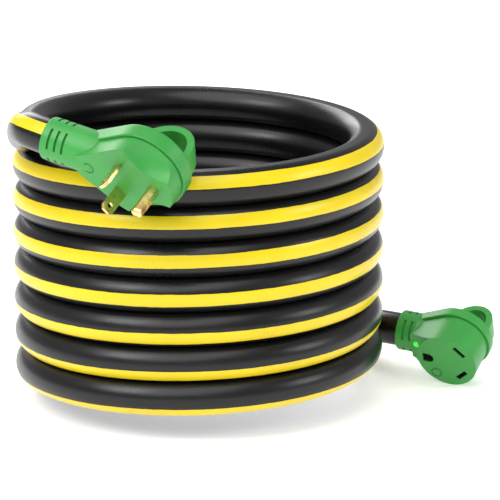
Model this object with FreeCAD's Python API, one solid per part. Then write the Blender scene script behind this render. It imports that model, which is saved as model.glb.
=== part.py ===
"""Shore power cord: a coiled three-wire cord, a plug head on its top end and a connector head
on its bottom end. Millimetres, +Z up. The origin is on the floor, on the coil's axis; +X is to
the right of the coil and +Y points to its back. Writes one STEP file for each piece in parts/."""
import FreeCAD, Part
import math
import os

os.makedirs("parts", exist_ok=True)
V = FreeCAD.Vector

# cord and coil
CORD_D = 20.4            # jacket, and so also the height of one turn
COIL_R = 100.0           # centre line of the turns
TOP_Z = 164.0            # centre of the cord where the coil starts, at its left side
TURNS = 7.25             # left side of the top turn to the back of the bottom turn
SECTORS = 24             # steps in the two helical end faces of the coil
TOP_FLAT = 2             # sectors left flat under the plug's lead
TAIL_DROP = 6            # sectors in which the last quarter turn comes down to the floor

# wires and contacts, the same in both heads
WIRE_D = 5.2
STRAND_D = 2.9
BARREL_D = 5.4
BARREL_L = 9.0
BLADE_W = 7.8
BLADE_T = 1.8
BLADE_L = 17.0           # beyond the plug's face
BLADE_SPACING = 19.0
BLADE_TO_GROUND = 21.0
BLADE_LEAN = 45.0
GROUND_W = 5.4
GROUND_H = 6.0
GROUND_EXTRA = 3.0
SLOT_CLEAR = 0.5         # all round a pin, in the connector's face and contacts
STRAND_L = 4.0           # bare strands inside each barrel
BLADE_TIP_HOLE_D = 3.2
CLIP_WALL = 0.9          # sheet of the connector's contacts
CLIP_FROM = 5.0
BLOCK_WALL = 2.2         # moulding left round the connector's contact block

# strain relief
RELIEF_WALL = 2.1
RELIEF_SLOT = 1.4
RELIEF_PITCH = 4.6
RELIEF_FIRST = 4.5
RELIEF_ROWS = 3

# plug head: x from the cord to the far end, z from the face to the back
PLUG = dict(
    face_r=24.0, boss_h=11.0, flange_r=25.4, back=21.5, tip_x=-37.3, tip_w=5.4,
    axis_z=12.0, rim_x=-60.2, neck_x=-28.0, nose_x=-13.0, seam=0.5,
    wedge=[(-46, 2.0), (-33.5, 0.0), (40, 0.0)],
    arch=[(-26, 18), (-8, 34.5), (2.5, 42.5), (12, 42.6), (18.4, 37.4), (21.0, 30), (21.4, 18)],
    grip=[(-12.5, 22.5), (-5, 31.2), (3.6, 38.4), (10.6, 38.6), (15.2, 34.6), (17.2, 29),
          (17.4, 22.5)],
    grip_half=8.0, jacket_in=20.0, ground_x=12.0, bridge_z=(3.0, 8.5), crimp_z=12.0,
    heading=24.0, dip=12.5, roll=59.5, face_at=(-30.8, -140.0, 159.9))

# connector head
CONNECTOR = dict(
    face_r=19.0, boss_h=19.5, flange_r=20.6, back=27.0, tip_x=-26.0, tip_w=9.0,
    axis_z=19.5, rim_x=-37.0, neck_x=-24.5, nose_x=-8.0, seam=0.5,
    wedge=[(-46, 9.0), (-24, 7.5), (-12, 1.2), (40, 1.2)],
    arch=[(-19, 24), (-6, 38.0), (1.6, 44.6), (9, 45.2), (14.6, 41.4), (17.2, 35), (17.6, 24)],
    grip=[(-8.6, 28), (-3.2, 35.0), (2.6, 40.8), (8, 41.4), (11.8, 38.4), (13.6, 33.4), (13.8, 28)],
    grip_half=6.6, jacket_in=12.0, ground_x=-12.0, bridge_z=(0.8, 23.0), crimp_z=21.0,
    heading=24.0, dip=4.0, roll=62.0, face_at=(150.2, 8.0, 17.0))

SCOOP_AT = (19.5, 36.5)  # finger scoops at the far end of the plug's boss
SCOOP_FACE_R = 27.4
SCOOP_BACK_R = 16.4
SKIN = 1.6               # moulding between a scoop and the plug's inner bridge
MARK_R = 3.5             # plain ring in place of a mark
MARK_DEEP = 0.45
LENS_D = 4.4
LENS_Z = (5.2, 7.9)      # from the top of its dome to its back
LED_AT = (-21.5, -3.5)
LED_D = 3.0
LED_L = 3.4
LED_LEG_D = 0.8
RESISTOR_D = 2.4
RESISTOR_Y = (-0.6, 5.0)

PLUG_BEND = [(-100.0, -35.0, 164.0), (-95.6, -83.0, 180.2)]
TAIL_BEND = [(42.0, 100.0, 10.2), (80.0, 97.5, 11.0), (100.5, 81.0, 17.0), (106.5, 57.5, 26.2)]
LAST_CORNER = 9.0        # from each rim back to the last corner of the cord


# ---- helpers -------------------------------------------------------------------------------
def unit(v):
    return v.multiply(1.0 / v.Length)


def head_frame(head):
    """Placement that takes the head's own axes to where the head lies."""
    psi, dip, roll = (math.radians(head[k]) for k in ("heading", "dip", "roll"))
    x = V(math.cos(psi) * math.cos(dip), -math.sin(psi) * math.cos(dip), -math.sin(dip))
    away = V(math.sin(psi), math.cos(psi), 0)
    up = x.cross(away)
    z = away * math.sin(roll) + up * math.cos(roll)
    y = z.cross(x)
    c = head["face_at"]
    return FreeCAD.Placement(FreeCAD.Matrix(
        x.x, y.x, z.x, c[0], x.y, y.y, z.y, c[1], x.z, y.z, z.z, c[2], 0, 0, 0, 1))


def rod(a, b, d):
    return Part.makeCylinder(d / 2.0, (b - a).Length, a, b - a)


def prism(points, z0, z1):
    """Closed polygon in x, y pushed from z0 to z1."""
    ring = [V(x, y, z0) for x, y in points]
    return Part.Face(Part.makePolygon(ring + ring[:1])).extrude(V(0, 0, z1 - z0))


def side_prism(points, half):
    """Closed polygon in x, z pushed half to each side of y = 0."""
    ring = [V(x, -half, z) for x, z in points]
    return Part.Face(Part.makePolygon(ring + ring[:1])).extrude(V(0, 2 * half, 0))


def side_curve(points, half):
    """Smooth closed outline in x, z: a spline through the points and a straight base."""
    curve = Part.BSplineCurve()
    curve.interpolate([V(x, -half, z) for x, z in points])
    base = Part.makeLine(curve.EndPoint, curve.StartPoint)
    return Part.Face(Part.Wire([curve.toShape(), base])).extrude(V(0, 2 * half, 0))


def teardrop(r, tip_x, tip_w, z0, z1):
    """A disc with two tangent sides that run to a narrow end at tip_x."""
    reach = math.hypot(tip_x, tip_w)
    angle = math.atan2(tip_w, tip_x) - math.acos(r / reach)
    tangent = (r * math.cos(angle), r * math.sin(angle))
    sides = [(tip_x, tip_w), tangent, (tangent[0], -tangent[1]), (tip_x, -tip_w)]
    disc = Part.makeCylinder(r, z1 - z0, V(0, 0, z0))
    return disc.fuse(prism(sides, z0, z1)).removeSplitter()


def round_rim(solid, z, r):
    """Round the edges that lie in the plane at height z."""
    edges = [e for e in solid.Edges if all(abs(v.Point.z - z) < 1e-6 for v in e.Vertexes)
             and abs(e.CenterOfMass.z - z) < 1e-6]
    return solid.makeFillet(r, edges)


def route(points):
    """Wire of straight runs joined by tangent arcs, and the arcs' radii."""
    pts = [V(*p) for p in points]
    edges, radii, start = [], [], pts[0]
    for a, b, c in zip(pts, pts[1:], pts[2:]):
        into, out = unit(b - a), unit(c - b)
        half = math.acos(max(-1.0, min(1.0, into.dot(out)))) / 2.0
        cut = 0.45 * min((b - a).Length, (c - b).Length)
        radius = cut / math.tan(half)
        middle = unit(out - into)
        p, q = b - into * cut, b + out * cut
        m = b + middle * (radius / math.cos(half) - radius)
        edges += [Part.LineSegment(start, p).toShape(), Part.Arc(p, m, q).toShape()]
        radii.append(radius)
        start = q
    edges.append(Part.LineSegment(start, pts[-1]).toShape())
    return Part.Wire(edges), radii


def tube(name, points):
    wire, radii = route(points)
    start = wire.Edges[0]
    way = start.tangentAt(start.FirstParameter)
    section = Part.Wire(Part.makeCircle(CORD_D / 2.0, V(*points[0]), way))
    solid = wire.makePipeShell([section], True, False)
    want = math.pi * CORD_D ** 2 / 4.0 * wire.Length
    print(name, "length %.1f" % wire.Length, "arc radii", ["%.1f" % r for r in radii],
          "volume/section*length %.4f" % (solid.Volume / want))
    return solid


# ---- coil and its two leads ------------------------------------------------------------------
def coil():
    """Outer shape of the touching turns. Its top and bottom follow the helix in steps."""
    inner, outer = COIL_R - CORD_D / 2.0, COIL_R + CORD_D / 2.0
    wide = 360.0 / SECTORS
    top = TOP_Z + CORD_D / 2.0
    under = TOP_Z - CORD_D * (TURNS - 1.0) - CORD_D / 2.0
    blocks = []
    for k in range(SECTORS):
        high = top - CORD_D * min(1.0, k / float(SECTORS - TOP_FLAT))
        j = (k - SECTORS // 4) % SECTORS
        low = under - CORD_D * (j + 0.5) / SECTORS
        if j >= SECTORS - TAIL_DROP:
            level = under - CORD_D * (SECTORS - TAIL_DROP) / SECTORS
            low = level * (SECTORS - 1 - j) / float(TAIL_DROP)
        start = 180.0 - wide * (k + 1)
        block = Part.makeCylinder(outer, high - low, V(0, 0, low), V(0, 0, 1), wide)
        block = block.cut(Part.makeCylinder(inner, high - low, V(0, 0, low), V(0, 0, 1), wide))
        block.rotate(V(0, 0, 0), V(0, 0, 1), start)
        blocks.append(block)
    return blocks[0].multiFuse(blocks[1:]).removeSplitter()


def lead_points(head, bend, first):
    place = head_frame(head)
    corner = place.multVec(V(head["rim_x"] - LAST_CORNER, 0, head["axis_z"]))
    end = place.multVec(V(head["rim_x"] + head["jacket_in"], 0, head["axis_z"]))
    return [first] + bend + [tuple(corner), tuple(end)]


# ---- heads -------------------------------------------------------------------------------------
def strain_relief(head):
    """Sleeve round the jacket, with three rows of slots, that sinks into the head's neck."""
    r = CORD_D / 2.0 + RELIEF_WALL
    rim = V(head["rim_x"], 0, head["axis_z"])
    along = V(1, 0, 0)
    straight = head["neck_x"] - head["rim_x"]
    sleeve = Part.makeCylinder(r, straight, rim, along)
    sleeve = sleeve.makeFillet(0.9, [e for e in sleeve.Edges if e.CenterOfMass.x < rim.x + 0.01
                                     and len(e.Vertexes) == 1])
    neck = V(head["neck_x"], 0, head["axis_z"])
    sleeve = sleeve.fuse(Part.makeCone(r, r * 0.62, head["nose_x"] - head["neck_x"], neck, along))
    for row in range(RELIEF_ROWS):
        x = rim.x + RELIEF_FIRST + row * RELIEF_PITCH
        if x + RELIEF_SLOT > head["neck_x"]:
            continue
        groove = Part.makeCylinder(r + 1, RELIEF_SLOT, V(x, 0, rim.z), along)
        groove = groove.cut(Part.makeCylinder(r - 1.5, RELIEF_SLOT, V(x, 0, rim.z), along))
        for n in range(4):
            bridge = Part.makeBox(RELIEF_SLOT + 2, 6.4, r + 4, V(x - 1, -3.2, 0))
            bridge.rotate(V(0, 0, 0), along, 90 * n)
            bridge.translate(V(0, 0, rim.z))
            groove = groove.cut(bridge)
        sleeve = sleeve.cut(groove)
    return sleeve


def handle(head):
    """Fixed band over the back, with room for a finger."""
    band = side_curve(head["arch"], head["grip_half"])
    return band.cut(side_curve(head["grip"], head["grip_half"] + 1))


def head_shell(head):
    z1, z2, gap = head["boss_h"], head["back"], head["seam"]
    boss = teardrop(head["face_r"], head["tip_x"], head["tip_w"], 0, z1)
    wedge = head["wedge"]
    outline = [(x, z) for x, z in wedge] + [(wedge[-1][0], z2), (wedge[0][0], z2)]
    boss = boss.common(side_prism(outline, head["flange_r"] + 2))
    boss = boss.fuse(Part.makeCylinder(head["face_r"], z1, V(0, 0, 0))).removeSplitter()
    flange = teardrop(head["flange_r"], head["tip_x"] - 1, head["tip_w"] + 1, z1 + gap, z2)
    flange = round_rim(round_rim(flange, z2, 1.6), z1 + gap, 0.6)
    inner = teardrop(head["face_r"] - 0.5, head["tip_x"], head["tip_w"], z1 - 1, z1 + gap + 1)
    return boss.multiFuse([inner, flange, strain_relief(head), handle(head)]).removeSplitter()


def scoop(side, grow=0.0):
    """Round hollow that leaves the plug's boss narrower towards its far end."""
    deep = PLUG["boss_h"]
    wide, narrow = SCOOP_FACE_R + grow, SCOOP_BACK_R + grow
    arc = Part.Arc(V(wide, 0, 0), V(wide - 3.6, 0, deep * 0.6), V(narrow, 0, deep))
    lines = [V(narrow, 0, deep), V(0, 0, deep), V(0, 0, -1), V(wide, 0, -1), V(wide, 0, 0)]
    edges = [arc.toShape()] + [Part.makeLine(a, b) for a, b in zip(lines, lines[1:])]
    tool = Part.Face(Part.Wire(edges)).revolve(V(0, 0, 0), V(0, 0, 1), 360)
    tool.translate(V(SCOOP_AT[0], side * SCOOP_AT[1], 0))
    return tool


def ring_mark(x, y):
    ring = Part.makeCylinder(MARK_R, MARK_DEEP, V(x, y, 0))
    return ring.cut(Part.makeCylinder(MARK_R - 0.7, MARK_DEEP, V(x, y, 0)))


def blade_spot(head, side):
    """Centre of a line or neutral blade; it stands opposite the ground pin."""
    sign = -1 if head["ground_x"] > 0 else 1
    return V(head["ground_x"] + sign * BLADE_TO_GROUND, side * BLADE_SPACING / 2.0, 0)


def blade(head, side, grow, z0, z1):
    sign = 1 if head["ground_x"] > 0 else -1
    w, t = BLADE_W + 2 * grow, BLADE_T + 2 * grow
    box = Part.makeBox(w, t, z1 - z0, V(-w / 2.0, -t / 2.0, z0))
    box.rotate(V(0, 0, 0), V(0, 0, 1), side * sign * BLADE_LEAN)
    box.translate(blade_spot(head, side))
    return box


def ground(head, grow, z0, z1):
    """Ground pin: round on the side of the blades, flat on the other."""
    r, h = GROUND_W / 2.0 + grow, GROUND_H + 2 * grow
    sign = 1 if head["ground_x"] > 0 else -1
    x = head["ground_x"]
    flat = x + sign * h / 2.0
    middle = flat - sign * (h - r)
    disc = Part.makeCylinder(r, z1 - z0, V(middle, 0, z0))
    box = Part.makeBox(h - r, 2 * r, z1 - z0, V(min(flat, middle), -r, z0))
    return disc.fuse(box).removeSplitter()


def barrel(start, toward):
    """Crimp barrel from a contact towards the cord."""
    return rod(start, start + V(-toward, 0, 0), BARREL_D)


def wiring(head, ends):
    """Wires and stripped strand ends from the jacket's end to the three crimp barrels."""
    x0 = head["rim_x"] + head["jacket_in"]
    lay = WIRE_D / math.sqrt(3.0) + 0.15
    starts = [V(x0, -lay * math.cos(math.pi / 6), head["axis_z"] - lay / 2.0),
              V(x0, lay * math.cos(math.pi / 6), head["axis_z"] - lay / 2.0),
              V(x0, 0, head["axis_z"] + lay)]
    wires, strands = [], []
    for a, b in zip(starts, ends):
        wires.append(rod(a, b, WIRE_D))
        strands.append(rod(b, b + V(STRAND_L, 0, 0), STRAND_D))
    return wires, strands


SOLIDS = {}


def keep(name, solid, place):
    solid = solid.copy()
    solid.Placement = place.multiply(solid.Placement)
    SOLIDS[name] = solid


def subtract(solid, tools):
    for tool in tools:
        solid = solid.cut(tool)
    return solid


def plug():
    head, place = PLUG, head_frame(PLUG)
    z0, z1 = head["bridge_z"]
    crimp = head["crimp_z"]
    pins, ends = [], []
    for side in (-1, 1):
        spot = blade_spot(head, side)
        pin = blade(head, side, 0, -BLADE_L, crimp)
        tip = side_prism([(-BLADE_W, -BLADE_L - 1), (BLADE_W, -BLADE_L - 1), (BLADE_W / 2.0 + 0.1, -BLADE_L + 2.5),
                          (BLADE_W / 2.0 - 1.8, -BLADE_L - 0.1), (1.8 - BLADE_W / 2.0, -BLADE_L - 0.1),
                          (-BLADE_W / 2.0 - 0.1, -BLADE_L + 2.5)], BLADE_T)
        hole = Part.makeCylinder(BLADE_TIP_HOLE_D / 2.0, 4 * BLADE_T, V(0, -2 * BLADE_T, -BLADE_L + 4.6), V(0, 1, 0))
        for tool in (tip, hole):
            tool.rotate(V(0, 0, 0), V(0, 0, 1), side * BLADE_LEAN)
            tool.translate(spot)
        tail = spot + V(1.0, 0, crimp)
        pin = pin.cut(tip).cut(hole).fuse(barrel(tail, BARREL_L))
        pins.append(pin)
        ends.append(tail - V(BARREL_L, 0, 0))
    tail = V(head["ground_x"], 0, crimp)
    pin = ground(head, 0, -BLADE_L - GROUND_EXTRA, crimp)
    pin = round_rim(pin, -BLADE_L - GROUND_EXTRA, GROUND_W * 0.4)
    pins.append(pin.fuse(barrel(tail, BARREL_L)))
    ends.append(tail - V(BARREL_L, 0, 0))

    wires, strands = wiring(head, ends)
    pins = [subtract(p, [s]) for p, s in zip(pins, strands)]
    bridge = Part.makeCylinder(head["face_r"] - 5.0, z1 - z0, V(0, 0, z0))
    bridge = subtract(bridge, [scoop(1, SKIN), scoop(-1, SKIN)] + pins + wires)
    jacket = rod(V(head["rim_x"] - 2, 0, head["axis_z"]), V(head["rim_x"] + head["jacket_in"], 0, head["axis_z"]), CORD_D)
    body = subtract(head_shell(head), [scoop(1), scoop(-1), ring_mark(-28.5, 0), jacket])
    body = subtract(body, pins + strands + wires + [bridge])
    for name, pin in zip(("plug_line_blade", "plug_neutral_blade", "plug_ground_pin"), pins):
        keep(name, pin, place)
    keep_wiring("plug", wires, strands, pins, place)
    keep("plug_bridge", bridge, place)
    keep("plug_body", body, place)


def keep_wiring(prefix, wires, strands, contacts, place):
    for what, wire, strand in zip(("line", "neutral", "ground"), wires, strands):
        wire = max(subtract(wire, contacts).Solids, key=lambda part: part.Volume)
        keep("%s_%s_wire" % (prefix, what), wire, place)
        keep("%s_%s_strands" % (prefix, what), strand, place)


def indicator(head, clips):
    """Power light: a lens in the neck, an LED, a resistor and three legs to the live contacts."""
    x, y = LED_AT
    low, high = LENS_Z
    lens = Part.makeCylinder(LENS_D / 2.0, high - low, V(x, y, low))
    lens = round_rim(lens, low, 0.9)
    led = Part.makeCylinder(LED_D / 2.0, LED_L, V(x, y, high))
    leg_z = high + LED_L
    part_z = leg_z + 1.4
    resistor = rod(V(x, RESISTOR_Y[0], part_z), V(x, RESISTOR_Y[1], part_z), RESISTOR_D)
    line_end, neutral_end = (blade_spot(head, side) + V(0, 0, part_z) for side in (-1, 1))
    legs = [rod(V(x, y - 0.8, leg_z - 0.4), line_end, LED_LEG_D),
            rod(V(x, y + 0.8, leg_z - 0.4), V(x, RESISTOR_Y[0] + 0.4, part_z), LED_LEG_D),
            rod(V(x, RESISTOR_Y[1] - 0.4, part_z), neutral_end, LED_LEG_D)]
    inside = [led, resistor] + clips
    legs = [subtract(leg, inside) for leg in legs]
    legs = [max(leg.Solids, key=lambda part: part.Volume) for leg in legs]
    return lens, led, resistor, legs


def connector():
    head, place = CONNECTOR, head_frame(CONNECTOR)
    z0, z1 = head["bridge_z"]
    crimp = head["crimp_z"]
    grow = SLOT_CLEAR + CLIP_WALL
    slots, clips, ends = [], [], []
    for side in (-1, 1):
        slot = blade(head, side, SLOT_CLEAR, -1, BLADE_L + 0.6)
        clip = blade(head, side, grow, CLIP_FROM, crimp - 1.0)
        tail = blade_spot(head, side) + V(-1.0, 0, crimp)
        clips.append(clip.fuse(barrel(tail, BARREL_L)).cut(slot))
        slots.append(slot)
        ends.append(tail - V(BARREL_L, 0, 0))
    slot = ground(head, SLOT_CLEAR, -1, BLADE_L + GROUND_EXTRA + 0.6)
    clip = ground(head, grow, CLIP_FROM, crimp + 1.5)
    tail = V(head["ground_x"], 0, crimp + 2.5)
    clips.append(clip.fuse(barrel(tail, BARREL_L - 3.0)).cut(slot))
    slots.append(slot)
    ends.append(tail - V(BARREL_L - 3.0, 0, 0))

    wires, strands = wiring(head, ends)
    clips = [subtract(c, [s]) for c, s in zip(clips, strands)]
    lens, led, resistor, legs = indicator(head, clips)
    block = Part.makeCylinder(head["face_r"] - BLOCK_WALL, z1 - z0, V(0, 0, z0))
    block = subtract(block, slots + clips + strands + wires + legs)
    jacket = rod(V(head["rim_x"] - 2, 0, head["axis_z"]),
                 V(head["rim_x"] + head["jacket_in"], 0, head["axis_z"]), CORD_D)
    body = subtract(head_shell(head), [ring_mark(-7.6, 11.1), jacket])
    body = subtract(body, slots + clips + strands + wires + [lens, led, resistor] + legs + [block])
    body = max(body.Solids, key=lambda part: part.Volume)
    block = max(block.Solids, key=lambda part: part.Volume)
    for name, clip in zip(("line", "neutral", "ground"), clips):
        keep("connector_%s_contact" % name, clip, place)
    keep_wiring("connector", wires, strands, clips, place)
    keep("connector_block", block, place)
    keep("connector_body", body, place)
    keep("led_lens", lens, place)
    keep("led", led, place)
    keep("led_resistor", resistor, place)
    for name, leg in zip(("line", "resistor", "neutral"), legs):
        keep("led_%s_leg" % name, leg, place)


SOLIDS["cord_coil"] = coil()
plug_points = lead_points(PLUG, PLUG_BEND, (-COIL_R, 0.0, TOP_Z))
SOLIDS["plug_lead"] = tube("plug_lead", plug_points)
tail_points = lead_points(CONNECTOR, TAIL_BEND, (0.0, COIL_R, CORD_D / 2.0))
SOLIDS["connector_lead"] = tube("connector_lead", tail_points)
plug()
connector()

for name, solid in SOLIDS.items():
    print(name, "valid", solid.isValid(), "solids", len(solid.Solids), "volume %.0f" % solid.Volume)
    solid.exportStep("parts/%s.step" % name)
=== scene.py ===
"""Shore power cord: builds the striped cord, dresses the two heads and sets the stage."""
import math

import bmesh
import bpy
from bpy.props import FloatProperty, FloatVectorProperty, PointerProperty
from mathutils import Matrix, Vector


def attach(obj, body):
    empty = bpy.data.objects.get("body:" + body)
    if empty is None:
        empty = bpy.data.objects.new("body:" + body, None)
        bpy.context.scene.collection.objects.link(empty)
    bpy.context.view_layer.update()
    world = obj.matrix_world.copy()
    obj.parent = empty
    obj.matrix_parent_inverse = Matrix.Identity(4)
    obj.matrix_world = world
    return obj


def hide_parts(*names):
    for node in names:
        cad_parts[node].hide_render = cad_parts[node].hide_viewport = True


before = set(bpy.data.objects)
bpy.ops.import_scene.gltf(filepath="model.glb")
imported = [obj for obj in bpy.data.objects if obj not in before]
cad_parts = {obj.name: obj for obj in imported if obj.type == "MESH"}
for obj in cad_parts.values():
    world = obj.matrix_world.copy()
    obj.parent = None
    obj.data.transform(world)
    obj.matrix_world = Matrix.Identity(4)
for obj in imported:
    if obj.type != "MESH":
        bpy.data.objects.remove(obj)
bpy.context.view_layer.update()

bl_info = {
    "name": "Shore Power Cord",
    "version": (1, 0, 0),
    "blender": (4, 5, 0),
    "location": "View3D > Sidebar > Power Cord",
    "description": "A coiled power cord with moulded heads",
    "category": "Object",
}

# ---- the cord's route, in metres -------------------------------------------------------------
COIL_R = 0.100
COIL_TOP = 0.164
PITCH = 0.0204
TURNS = 7.25
PER_TURN = 16
SAG_FROM = 7.0
SAG = 0.0059
CONNECTOR_END = [(0.135003, 0.033613, 0.027876), (0.115866, 0.042134, 0.029341)]
CONNECTOR_BEND = [(0.1065, 0.0575, 0.0262), (0.1005, 0.0810, 0.0170), (0.0800, 0.0975, 0.0110),
                  (0.0420, 0.1000, 0.0102)]
PLUG_BEND = [(-0.1000, -0.0350, 0.1640), (-0.0956, -0.0830, 0.1802)]
PLUG_END = [(-0.087109, -0.103612, 0.180824), (-0.061244, -0.115127, 0.174547)]
SECTION_POINTS = 44
CORD_FLOOR = 0.0102      # height of the cord's centre on the floor
PRESSING_LENGTH = 0.06   # stretch over which the round cord becomes a pressed turn
CORD_NODES = ("cord_coil", "plug_lead", "connector_lead")

# ---- the stage ---------------------------------------------------------------------------------
FLOOR_GLOW = 0.35
FLOOR_SIZE = 12.0
LIT_SPOT = (0.02, 0.0, 0.08)
LIGHTS = (("key", (-1.2, -0.9, 1.3), 0.7, 1.0), ("fill", (1.6, -0.5, 0.8), 0.6, 0.8),
          ("back", (-0.5, 1.3, 0.9), 0.8, 1.1))     # name, place, size, share of the key's power
SUN_SPREAD = 70.0
SUN_LEAN = (28.0, -18.0, 0.0)
CAMERA_AT = (0.0577, -1.6662, 0.4992)
CAMERA_TURN = (90.0 - 13.849, 0.0, 0.926)
CAMERA_LENS = 205.76


def coil_points():
    """Corners of the coil's route, from its bottom end up. The edges between them touch the turns."""
    corner_r = COIL_R / math.cos(math.pi / PER_TURN)
    points = []
    for k in range(int(TURNS * PER_TURN)):
        turn = (k + 0.5) / PER_TURN
        angle = math.pi - 2 * math.pi * turn
        low = max(0.0, (turn - SAG_FROM) / (TURNS - SAG_FROM))
        z = COIL_TOP - PITCH * turn - SAG * low * low * (3 - 2 * low)
        points.append((corner_r * math.cos(angle), corner_r * math.sin(angle), z))
    return points[::-1]


def route_points():
    """Smooth line of the whole cord, from inside the connector to inside the plug."""
    corners = CONNECTOR_END + CONNECTOR_BEND + coil_points() + PLUG_BEND + PLUG_END
    data = bpy.data.curves.new("route", "CURVE")
    data.dimensions = "3D"
    data.resolution_u = 10
    spline = data.splines.new("NURBS")
    spline.points.add(len(corners) - 1)
    for point, at in zip(spline.points, corners):
        point.co = (*at, 1.0)
    spline.order_u = 3
    spline.use_endpoint_u = True
    carrier = bpy.data.objects.new("route", data)
    bpy.context.scene.collection.objects.link(carrier)
    bpy.context.view_layer.update()
    mesh = bpy.data.meshes.new_from_object(carrier)
    points = [v.co.copy() for v in mesh.vertices]
    bpy.data.objects.remove(carrier)
    bpy.data.meshes.remove(mesh)
    return points


def lengths(points):
    """Length along the cord at each point."""
    total, out = 0.0, [0.0]
    for a, b in zip(points, points[1:]):
        total += (b - a).length
        out.append(total)
    return out


def nearest(points, spot):
    return min(range(len(points)), key=lambda i: (points[i] - Vector(spot)).length_squared)


def cord_frames(points):
    """For each point, the outward and upward directions of the cord's section."""
    count = len(points)
    tangents = [(points[min(i + 1, count - 1)] - points[max(i - 1, 0)]).normalized() for i in range(count)]
    low = nearest(points, (0.0, COIL_R, CORD_FLOOR))
    high = nearest(points, (-COIL_R, 0.0, COIL_TOP))
    outs = [None] * count
    for i in range(low, high + 1):
        out = Vector((points[i].x, points[i].y, 0.0))
        outs[i] = (out - tangents[i] * out.dot(tangents[i])).normalized()
    for i in range(low - 1, -1, -1):
        outs[i] = carried(outs[i + 1], tangents[i])
    for i in range(high + 1, count):
        outs[i] = carried(outs[i - 1], tangents[i])
    ups = [out.cross(tangent) for out, tangent in zip(outs, tangents)]
    if ups[(low + high) // 2].z < 0:
        ups = [-up for up in ups]
    return outs, ups, low, high


def carried(direction, tangent):
    """The direction taken along the cord without twisting it."""
    return (direction - tangent * direction.dot(tangent)).normalized()


def section(angle, pressed):
    """Point of the cord's section. Pressed turns bulge outwards and are flat where they touch."""
    settings = bpy.context.scene.power_cord
    round_r = settings.jacket_radius
    across = round_r + (settings.pressed_radius - round_r) * pressed
    high = across * math.sin(angle)
    limit = PITCH / 2
    return across * math.cos(angle), max(-limit, min(limit, high))


def wrapped(angle):
    """The same angle between minus and plus half a turn."""
    return (angle + math.pi) % (2 * math.pi) - math.pi


def cord_mesh(points):
    """Tube with closed ends. Its UV map holds the angle from the stripe and the length along."""
    settings = bpy.context.scene.power_cord
    outs, ups, low, high = cord_frames(points)
    along = lengths(points)
    circle = math.hypot(2 * math.pi * COIL_R, PITCH)
    step = 2 * math.pi / SECTION_POINTS
    bm = bmesh.new()
    uv = bm.loops.layers.uv.new("Jacket")
    rings, stripes = [], []
    for i, point in enumerate(points):
        inside = min(along[i] - along[low], along[high] - along[i])
        pressed = max(0.0, min(1.0, inside / PRESSING_LENGTH))
        ring = []
        for k in range(SECTION_POINTS):
            out, up = section(k * step, pressed)
            ring.append(bm.verts.new(point + outs[i] * out + ups[i] * up))
        rings.append(ring)
        turn = (along[high] - along[i]) / circle
        stripes.append(math.radians(settings.stripe_lean - settings.stripe_drift * turn))
    for i in range(len(rings) - 1):
        for k in range(SECTION_POINTS):
            n = (k + 1) % SECTION_POINTS
            face = bm.faces.new((rings[i][k], rings[i][n], rings[i + 1][n], rings[i + 1][k]))
            face.smooth = True
            here = wrapped(k * step - stripes[i])
            there = here + stripes[i] - stripes[i + 1]
            for loop, (turned, at) in zip(face.loops, ((here, i), (here + step, i), (there + step, i + 1),
                                                       (there, i + 1))):
                loop[uv].uv = (turned / (2 * math.pi), along[at])
    for ring in (rings[0], rings[-1][::-1]):
        bm.faces.new(ring)
    bmesh.ops.recalc_face_normals(bm, faces=bm.faces)
    mesh = bpy.data.meshes.new("cord")
    bm.to_mesh(mesh)
    bm.free()
    return mesh


# ---- materials ---------------------------------------------------------------------------------
class Nodes:
    """Short way to build one node material."""

    def __init__(self, name):
        self.material = bpy.data.materials.new(name)
        self.material.use_nodes = True
        self.tree = self.material.node_tree
        self.shader = self.tree.nodes["Principled BSDF"]

    def add(self, kind, inputs=None, **settings):
        node = self.tree.nodes.new("ShaderNode" + kind)
        for key, value in settings.items():
            setattr(node, key, value)
        for key, value in (inputs or {}).items():
            self.put(value, node.inputs[key])
        return node

    def put(self, value, socket):
        if isinstance(value, bpy.types.NodeSocket):
            self.tree.links.new(value, socket)
        elif isinstance(value, bpy.types.Node):
            self.tree.links.new(value.outputs[0], socket)
        else:
            socket.default_value = value

    def set(self, **inputs):
        for key, value in inputs.items():
            self.put(value, self.shader.inputs[key.replace("_", " ")])

    def math(self, operation, a, b=0.0):
        return self.add("Math", {0: a, 1: b}, operation=operation)

    def noise(self, where, scale, detail=4.0, rough=0.5):
        return self.add("TexNoise", {"Vector": where, "Scale": scale, "Detail": detail, "Roughness": rough})

    def ramp(self, value, stops):
        node = self.add("ValToRGB", {"Fac": value})
        bands = node.color_ramp.elements
        while len(bands) < len(stops):
            bands.new(0.5)
        for band, (at, colour) in zip(bands, stops):
            band.position = at
            band.color = colour
        return node

    def map(self, value, low, high, to_low, to_high, smooth=False):
        kind = "SMOOTHSTEP" if smooth else "LINEAR"
        return self.add("MapRange", {"Value": value, "From Min": low, "From Max": high, "To Min": to_low,
                                     "To Max": to_high}, interpolation_type=kind)

    def mix(self, amount, a, b):
        node = self.add("Mix", data_type="RGBA")
        for socket, value in ((node.inputs[0], amount), (node.inputs[6], a), (node.inputs[7], b)):
            self.put(value, socket)
        return node.outputs[2]

    def bump(self, height, strength, distance, normal=None):
        node = self.add("Bump", {"Height": height, "Strength": strength, "Distance": distance})
        if normal is not None:
            self.put(normal, node.inputs["Normal"])
        return node


def rgb(colour):
    return (*colour, 1.0)


def shade(colour, k):
    return (*(c * k for c in colour), 1.0)


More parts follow.
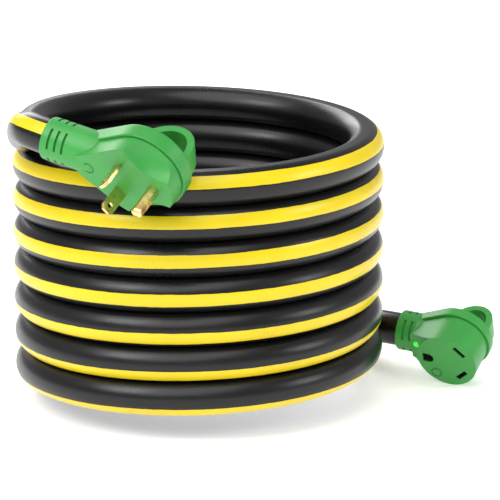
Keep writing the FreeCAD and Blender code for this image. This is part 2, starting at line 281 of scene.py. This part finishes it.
def jacket_material():
    """Satin black jacket with a yellow stripe that has slightly uneven edges."""
    settings = bpy.context.scene.power_cord
    m = Nodes("cord_jacket")
    where = m.add("UVMap", uv_map="Jacket")
    parts = m.add("SeparateXYZ", {0: where})
    spot = m.add("TexCoord").outputs["Object"]
    ragged = m.noise(spot, 160.0, 3.0)
    swell = m.noise(spot, 14.0, 2.0)
    offset = m.math("ABSOLUTE", parts.outputs[0])
    edge = m.math("ADD", m.map(ragged, 0.3, 0.7, -0.0016, 0.0016), m.map(swell, 0.3, 0.7, -0.003, 0.003))
    offset = m.math("ADD", offset, edge)
    half = settings.stripe_width / 720.0
    stripe = m.map(offset, half - 0.0012, half + 0.0012, 1.0, 0.0, True)
    cloud = m.noise(spot, 22.0, 5.0, 0.6)
    grain = m.noise(spot, 900.0, 3.0, 0.6)
    black = m.ramp(cloud, [(0.3, shade(settings.jacket_colour, 0.8)),
                           (0.7, shade(settings.jacket_colour, 1.25))])
    yellow = m.ramp(cloud, [(0.3, shade(settings.stripe_colour, 0.9)),
                            (0.7, shade(settings.stripe_colour, 1.03))])
    rough = m.map(cloud, 0.3, 0.7, 0.27, 0.35)
    m.set(Base_Color=m.mix(stripe, black, yellow),
          Roughness=m.math("ADD", rough, m.map(grain, 0.3, 0.7, -0.03, 0.03)))
    drawn = m.add("CombineXYZ", {0: m.math("MULTIPLY", parts.outputs[0], 90.0),
                                 1: m.math("MULTIPLY", parts.outputs[1], 2.0)})
    lines = m.noise(drawn, 1.0, 3.0)
    fine = m.bump(grain, 0.12, 0.0002)
    m.set(Normal=m.bump(lines, 0.10, 0.0006, fine), Specular_IOR_Level=0.4)
    return m.material


def moulding_material():
    """Green overmoulding with a fine grain and softened edges."""
    settings = bpy.context.scene.power_cord
    m = Nodes("head_green")
    spot = m.add("TexCoord").outputs["Object"]
    cloud = m.noise(spot, 30.0, 4.0)
    grain = m.noise(spot, 1400.0, 4.0, 0.65)
    green = m.ramp(cloud, [(0.3, shade(settings.head_colour, 0.92)),
                           (0.7, shade(settings.head_colour, 1.08))])
    soft = m.add("Bevel", {"Radius": 0.0005}, samples=4)
    m.set(Base_Color=green, Roughness=m.map(cloud, 0.3, 0.7, 0.36, 0.46), Specular_IOR_Level=0.5)
    m.set(Normal=m.bump(grain, 0.16, 0.00012, soft))
    return m.material


def brass_material():
    """Drawn brass: bright, with faint streaks along the sheet."""
    m = Nodes("contact_brass")
    spot = m.add("TexCoord").outputs["Object"]
    stretched = m.add("Mapping", {"Vector": spot, "Scale": (1.0, 0.2, 0.3)})
    streaks = m.noise(stretched, 420.0, 3.0)
    tone = m.ramp(m.noise(spot, 90.0), [(0.3, (0.78, 0.50, 0.17, 1)), (0.7, (0.93, 0.68, 0.30, 1))])
    soft = m.add("Bevel", {"Radius": 0.0003}, samples=4)
    m.set(Base_Color=tone, Metallic=1.0, Roughness=m.map(streaks, 0.3, 0.7, 0.18, 0.34))
    m.set(Normal=m.bump(streaks, 0.06, 0.0001, soft))
    return m.material


def copper_material():
    m = Nodes("copper_strand")
    spot = m.add("TexCoord").outputs["Object"]
    wave = m.add("TexWave", {"Vector": spot, "Scale": 700.0, "Distortion": 1.0}, bands_direction="DIAGONAL")
    tone = m.ramp(wave, [(0.2, (0.45, 0.16, 0.07, 1)), (0.8, (0.90, 0.44, 0.24, 1))])
    m.set(Base_Color=tone, Metallic=1.0, Roughness=0.32, Normal=m.bump(wave, 0.5, 0.0002))
    return m.material


def plain_material(name, colour, rough, glow=0.0, metal=0.0):
    """Moulded or drawn piece with a little unevenness in its colour and sheen."""
    m = Nodes(name)
    spot = m.add("TexCoord").outputs["Object"]
    cloud = m.noise(spot, 140.0, 4.0)
    tone = m.ramp(cloud, [(0.3, shade(colour, 0.86)), (0.7, shade(colour, 1.1))])
    m.set(Base_Color=tone, Roughness=m.map(cloud, 0.3, 0.7, rough - 0.05, rough + 0.05), Metallic=metal)
    m.set(Normal=m.bump(m.noise(spot, 1600.0), 0.1, 0.0001))
    if glow:
        m.set(Emission_Color=rgb(colour), Emission_Strength=glow, Coat_Weight=1.0)
    return m.material


def floor_material(colour):
    """Pale matt sheet, very faintly uneven. It glows a little, so that its shadows stay light."""
    m = Nodes("floor_pale")
    cloud = m.noise(m.add("TexCoord").outputs["Object"], 0.8, 2.0)
    m.set(Base_Color=m.ramp(cloud, [(0.3, shade(colour, 0.99)), (0.7, shade(colour, 1.0))]), Roughness=0.8,
          Specular_IOR_Level=0.1)
    m.set(Emission_Color=(1.0, 1.0, 1.0, 1.0), Emission_Strength=FLOOR_GLOW)
    return m.material


WIRE_COLOURS = {"line": (0.02, 0.02, 0.022), "neutral": (0.75, 0.75, 0.72), "ground": (0.03, 0.30, 0.07)}


def materials_by_node():
    """Node name to material, for every CAD piece that stays in view."""
    green, brass, copper = moulding_material(), brass_material(), copper_material()
    black = plain_material("insert_black", (0.022, 0.022, 0.024), 0.5)
    tin = plain_material("tinned_wire", (0.7, 0.7, 0.7), 0.3, metal=1.0)
    table = {"plug_body": green, "connector_body": green, "plug_bridge": black, "connector_block": black,
             "plug_line_blade": brass, "plug_neutral_blade": brass, "plug_ground_pin": brass,
             "led_lens": plain_material("lens_green", (0.01, 0.75, 0.03), 0.15, 0.5),
             "led": plain_material("led_clear", (0.6, 0.8, 0.6), 0.1),
             "led_resistor": plain_material("resistor_tan", (0.55, 0.38, 0.2), 0.4)}
    for leg in ("line", "resistor", "neutral"):
        table["led_%s_leg" % leg] = tin
    for kind, colour in WIRE_COLOURS.items():
        table["connector_%s_contact" % kind] = brass
        wire = plain_material("wire_" + kind, colour, 0.35)
        for head in ("plug", "connector"):
            table["%s_%s_wire" % (head, kind)] = wire
            table["%s_%s_strands" % (head, kind)] = copper
    return table


# ---- operators -----------------------------------------------------------------------------------
class CordSettings(bpy.types.PropertyGroup):
    jacket_radius: FloatProperty(name="Jacket radius", default=0.01015, unit="LENGTH")
    pressed_radius: FloatProperty(name="Pressed radius", default=0.0107, unit="LENGTH")
    stripe_width: FloatProperty(name="Stripe width", description="Degrees round the jacket", default=42.0)
    stripe_lean: FloatProperty(name="Stripe lean", description="Degrees above level at the coil's top",
                               default=38.0)
    stripe_drift: FloatProperty(name="Stripe drift", description="Degrees lost in each turn", default=12.7)
    jacket_colour: FloatVectorProperty(name="Jacket", subtype="COLOR", default=(0.004, 0.004, 0.0045))
    stripe_colour: FloatVectorProperty(name="Stripe", subtype="COLOR", default=(0.77, 0.585, 0.006))
    head_colour: FloatVectorProperty(name="Heads", subtype="COLOR", default=(0.030, 0.285, 0.042))
    floor_tone: FloatProperty(name="Floor tone", default=0.92, min=0.0, max=1.0)
    sky_strength: FloatProperty(name="Sky", default=0.42)
    sun_strength: FloatProperty(name="Sun", default=2.5)
    key_power: FloatProperty(name="Key light", default=9.0, unit="POWER")


class POWERCORD_OT_stage(bpy.types.Operator):
    """Pale floor, soft lights and the camera"""
    bl_idname = "power_cord.stage"
    bl_label = "Set the Stage"

    def execute(self, context):
        settings = context.scene.power_cord
        self.floor(settings)
        self.sky(context, settings)
        self.sun(context, settings)
        for name, at, size, share in LIGHTS:
            self.light(context, name, at, size, settings.key_power * share)
        self.camera(context)
        return {"FINISHED"}

    def floor(self, settings):
        bm = bmesh.new()
        bmesh.ops.create_grid(bm, x_segments=8, y_segments=8, size=FLOOR_SIZE)
        mesh = bpy.data.meshes.new("floor")
        bm.to_mesh(mesh)
        bm.free()
        floor = bpy.data.objects.new("floor", mesh)
        bpy.context.scene.collection.objects.link(floor)
        tone = settings.floor_tone
        floor.data.materials.append(floor_material((tone, tone, tone)))

    def sky(self, context, settings):
        world = bpy.data.worlds.new("studio")
        world.use_nodes = True
        world.node_tree.nodes["Background"].inputs[0].default_value = (1, 1, 1, 1)
        world.node_tree.nodes["Background"].inputs[1].default_value = settings.sky_strength
        context.scene.world = world
        context.scene.view_settings.view_transform = "Standard"

    def sun(self, context, settings):
        data = bpy.data.lights.new("sun", "SUN")
        data.angle = math.radians(SUN_SPREAD)
        data.energy = settings.sun_strength
        lamp = bpy.data.objects.new("sun", data)
        lamp.rotation_euler = [math.radians(angle) for angle in SUN_LEAN]
        context.scene.collection.objects.link(lamp)

    def light(self, context, name, at, size, power):
        data = bpy.data.lights.new(name, "AREA")
        data.size = size
        data.energy = power
        lamp = bpy.data.objects.new(name, data)
        lamp.location = at
        aim = Vector(LIT_SPOT) - Vector(at)
        lamp.rotation_euler = aim.to_track_quat("-Z", "Y").to_euler()
        context.scene.collection.objects.link(lamp)

    def camera(self, context):
        data = bpy.data.cameras.new("camera")
        data.sensor_width = 36.0
        data.lens = CAMERA_LENS
        data.clip_end = 60.0
        camera = bpy.data.objects.new("camera", data)
        camera.location = CAMERA_AT
        camera.rotation_euler = [math.radians(angle) for angle in CAMERA_TURN]
        context.scene.collection.objects.link(camera)
        context.scene.camera = camera


class POWERCORD_OT_cord(bpy.types.Operator):
    """One striped cord, coiled between the connector and the plug"""
    bl_idname = "power_cord.cord"
    bl_label = "Build the Cord"

    def execute(self, context):
        points = route_points()
        cord = bpy.data.objects.new("striped_cord", cord_mesh(points))
        context.scene.collection.objects.link(cord)
        cord.data.materials.append(jacket_material())
        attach(cord, "root")
        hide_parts(*CORD_NODES)
        lengths(points)[-1]
        return {"FINISHED"}


class POWERCORD_OT_heads(bpy.types.Operator):
    """Gives every moulded, metal and wiring piece its material"""
    bl_idname = "power_cord.heads"
    bl_label = "Dress the Heads"

    def execute(self, context):
        for name, material in materials_by_node().items():
            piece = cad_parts[name]
            piece.data.materials.clear()
            piece.data.materials.append(material)
        return {"FINISHED"}


class POWERCORD_PT_panel(bpy.types.Panel):
    """Power cord settings and steps"""
    bl_label = "Power Cord"
    bl_space_type = "VIEW_3D"
    bl_region_type = "UI"
    bl_category = "Power Cord"

    def draw(self, context):
        settings = context.scene.power_cord
        for name in settings.bl_rna.properties.keys():
            if name not in ("rna_type", "name"):
                self.layout.prop(settings, name)
        for step in STEPS:
            self.layout.operator(step.bl_idname)


STEPS = (POWERCORD_OT_stage, POWERCORD_OT_cord, POWERCORD_OT_heads)
CLASSES = (CordSettings, *STEPS, POWERCORD_PT_panel)


def register():
    for cls in CLASSES:
        bpy.utils.register_class(cls)
    bpy.types.Scene.power_cord = PointerProperty(type=CordSettings)


def unregister():
    del bpy.types.Scene.power_cord
    for cls in reversed(CLASSES):
        bpy.utils.unregister_class(cls)


def main():
    register()
    bpy.ops.power_cord.stage()
    bpy.ops.power_cord.cord()
    bpy.ops.power_cord.heads()


if __name__ == "__main__":
    main()
